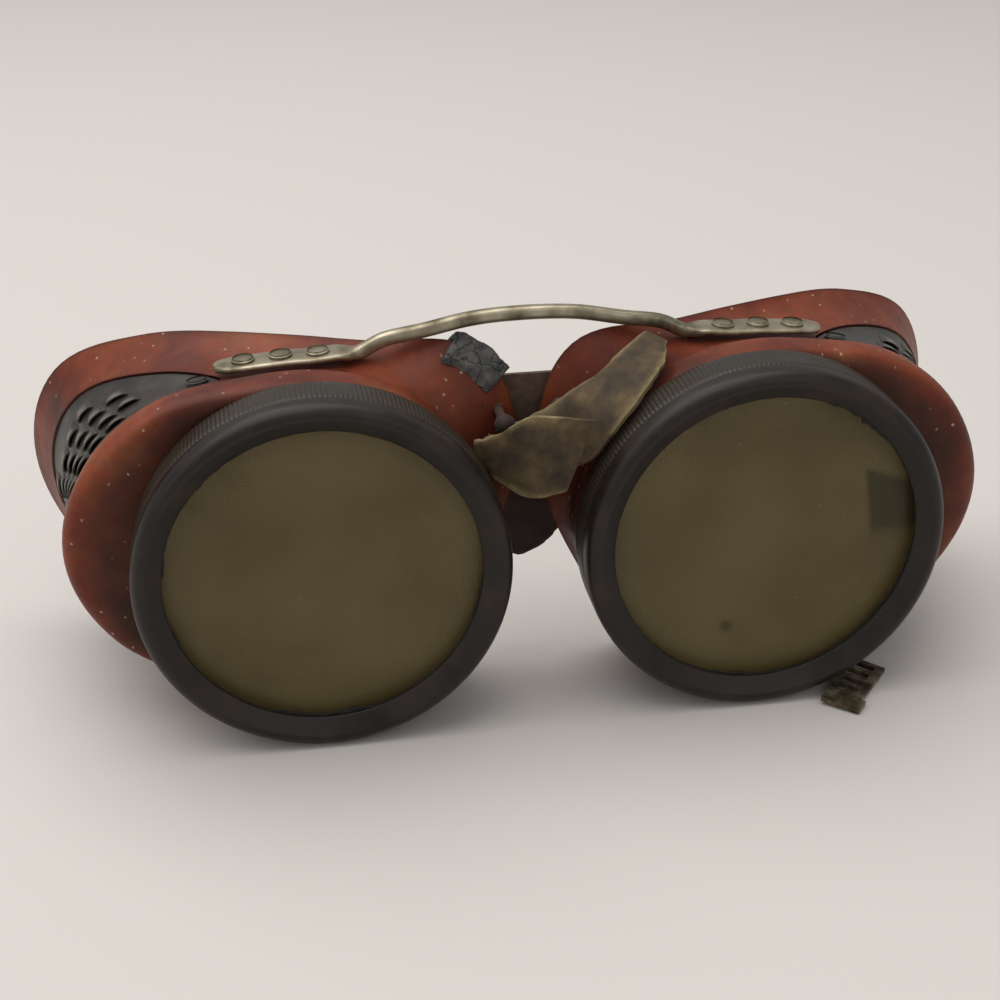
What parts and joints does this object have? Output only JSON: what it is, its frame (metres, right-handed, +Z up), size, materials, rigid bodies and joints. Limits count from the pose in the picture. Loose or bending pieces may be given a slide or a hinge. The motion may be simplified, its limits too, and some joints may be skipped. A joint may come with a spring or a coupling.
{
  "type": "cup goggles",
  "caption": "Round cup goggles with screw-on knurled lens rings, louvred side vents, a riveted wire bridge, leather nose wrap and slotted band slides.",
  "frame": {"origin": "middle of the model's box in plan, on the surface that it stands on", "axes": "+X to the wearer's left, along the line between the eyes; +Y to the wearer's face; -Y is where the lenses look; +Z up"},
  "size_m": [0.1556, 0.061, 0.0605],
  "materials": {
    "cup_fibre": "moulded red-brown vulcanised fibre, waxy and scuffed",
    "vent_metal": "blackened pressed sheet, worn bright on the louvre edges",
    "ring_moulding": "dark phenolic moulding, knurled at the back, satin at the front",
    "cover_glass": "clear flat cover glass, dusty",
    "filter_glass": "dark olive filter glass",
    "gasket_rubber": "thin black gasket, torn at its edge",
    "rim_rubber": "hardened grey rubber, cracked",
    "bridge_nickel": "nickel-plated wire, dulled and stained",
    "band_steel": "dull plated steel, brown with age",
    "stud_metal": "blackened metal stud",
    "dark_leather": "dark brown leather strip",
    "worn_leather": "olive-brown worn leather, lighter at the edges"
  },
  "bodies": {
    "frame": {"bridge_wire": "bridge_nickel", "left_band_anchor": "band_steel", "left_bridge_rivet_1": "bridge_nickel", "left_bridge_rivet_2": "bridge_nickel", "left_bridge_rivet_3": "bridge_nickel", "left_eye_cup": "cup_fibre", "left_rim_rubber": "rim_rubber", "left_side_vent": "vent_metal", "left_vent_rivet_lower": "vent_metal", "left_vent_rivet_upper": "vent_metal", "nose_leather": "worn_leather", "nose_strap": "dark_leather", "right_band_anchor": "band_steel", "right_bridge_rivet_1": "bridge_nickel", "right_bridge_rivet_2": "bridge_nickel", "right_bridge_rivet_3": "bridge_nickel", "right_eye_cup": "cup_fibre", "right_side_vent": "vent_metal", "right_vent_rivet_lower": "vent_metal", "right_vent_rivet_upper": "vent_metal", "strap_rivet": "stud_metal", "strap_stud": "stud_metal"},
    "left_lens_stack": {"left_front_gasket": "gasket_rubber", "left_cover_glass": "cover_glass", "left_filter_glass": "filter_glass", "left_rear_gasket": "gasket_rubber"},
    "left_ring": {"left_lens_ring": "ring_moulding"},
    "left_link": {"left_band_link": "band_steel"},
    "left_slide": {"left_band_slide": "band_steel"},
    "right_lens_stack": {"right_front_gasket": "gasket_rubber", "right_cover_glass": "cover_glass", "right_filter_glass": "filter_glass", "right_rear_gasket": "gasket_rubber"},
    "right_ring": {"right_lens_ring": "ring_moulding"},
    "right_link": {"right_band_link": "band_steel"},
    "right_slide": {"right_band_slide": "band_steel"}
  },
  "joints": [
    {"name": "left_lens_draw", "type": "slide", "parent": "frame", "child": "left_lens_stack", "axis": [0, -1, 0], "range_m": [0, 0.0026]},
    {"name": "left_ring_turn", "type": "hinge", "parent": "left_lens_stack", "child": "left_ring", "pos_m": [-0.03345, -0.01947, 0.028], "axis": [0, -1, 0], "range_deg": [0, 630]},
    {"name": "left_link_swing", "type": "hinge", "parent": "frame", "child": "left_link", "pos_m": [-0.04695, 0.00693, 0.0016], "axis": [0, 0, 1], "range_deg": [-15, 45]},
    {"name": "left_slide_swing", "type": "hinge", "parent": "left_link", "child": "left_slide", "pos_m": [-0.05909, 0.01259, 0.0016], "axis": [0, 0, 1], "range_deg": [-40, 90]},
    {"name": "right_lens_draw", "type": "slide", "parent": "frame", "child": "right_lens_stack", "axis": [0, -1, 0], "range_m": [0, 0.0026]},
    {"name": "right_ring_turn", "type": "hinge", "parent": "right_lens_stack", "child": "right_ring", "pos_m": [0.03345, -0.01947, 0.028], "axis": [0, -1, 0], "range_deg": [0, 630]},
    {"name": "right_link_swing", "type": "hinge", "parent": "frame", "child": "right_link", "pos_m": [0.04695, 0.00013, 0.0016], "axis": [0, 0, 1], "range_deg": [0, 60]},
    {"name": "right_slide_swing", "type": "hinge", "parent": "right_link", "child": "right_slide", "pos_m": [0.04602, -0.01324, 0.0016], "axis": [0, 0, 1], "range_deg": [0, 90]}
  ],
  "couplings": [
    {"joint": "left_lens_draw", "follows": "left_ring_turn", "m_per_rad": 0.00022282},
    {"joint": "right_lens_draw", "follows": "right_ring_turn", "m_per_rad": 0.00022282}
  ]
}
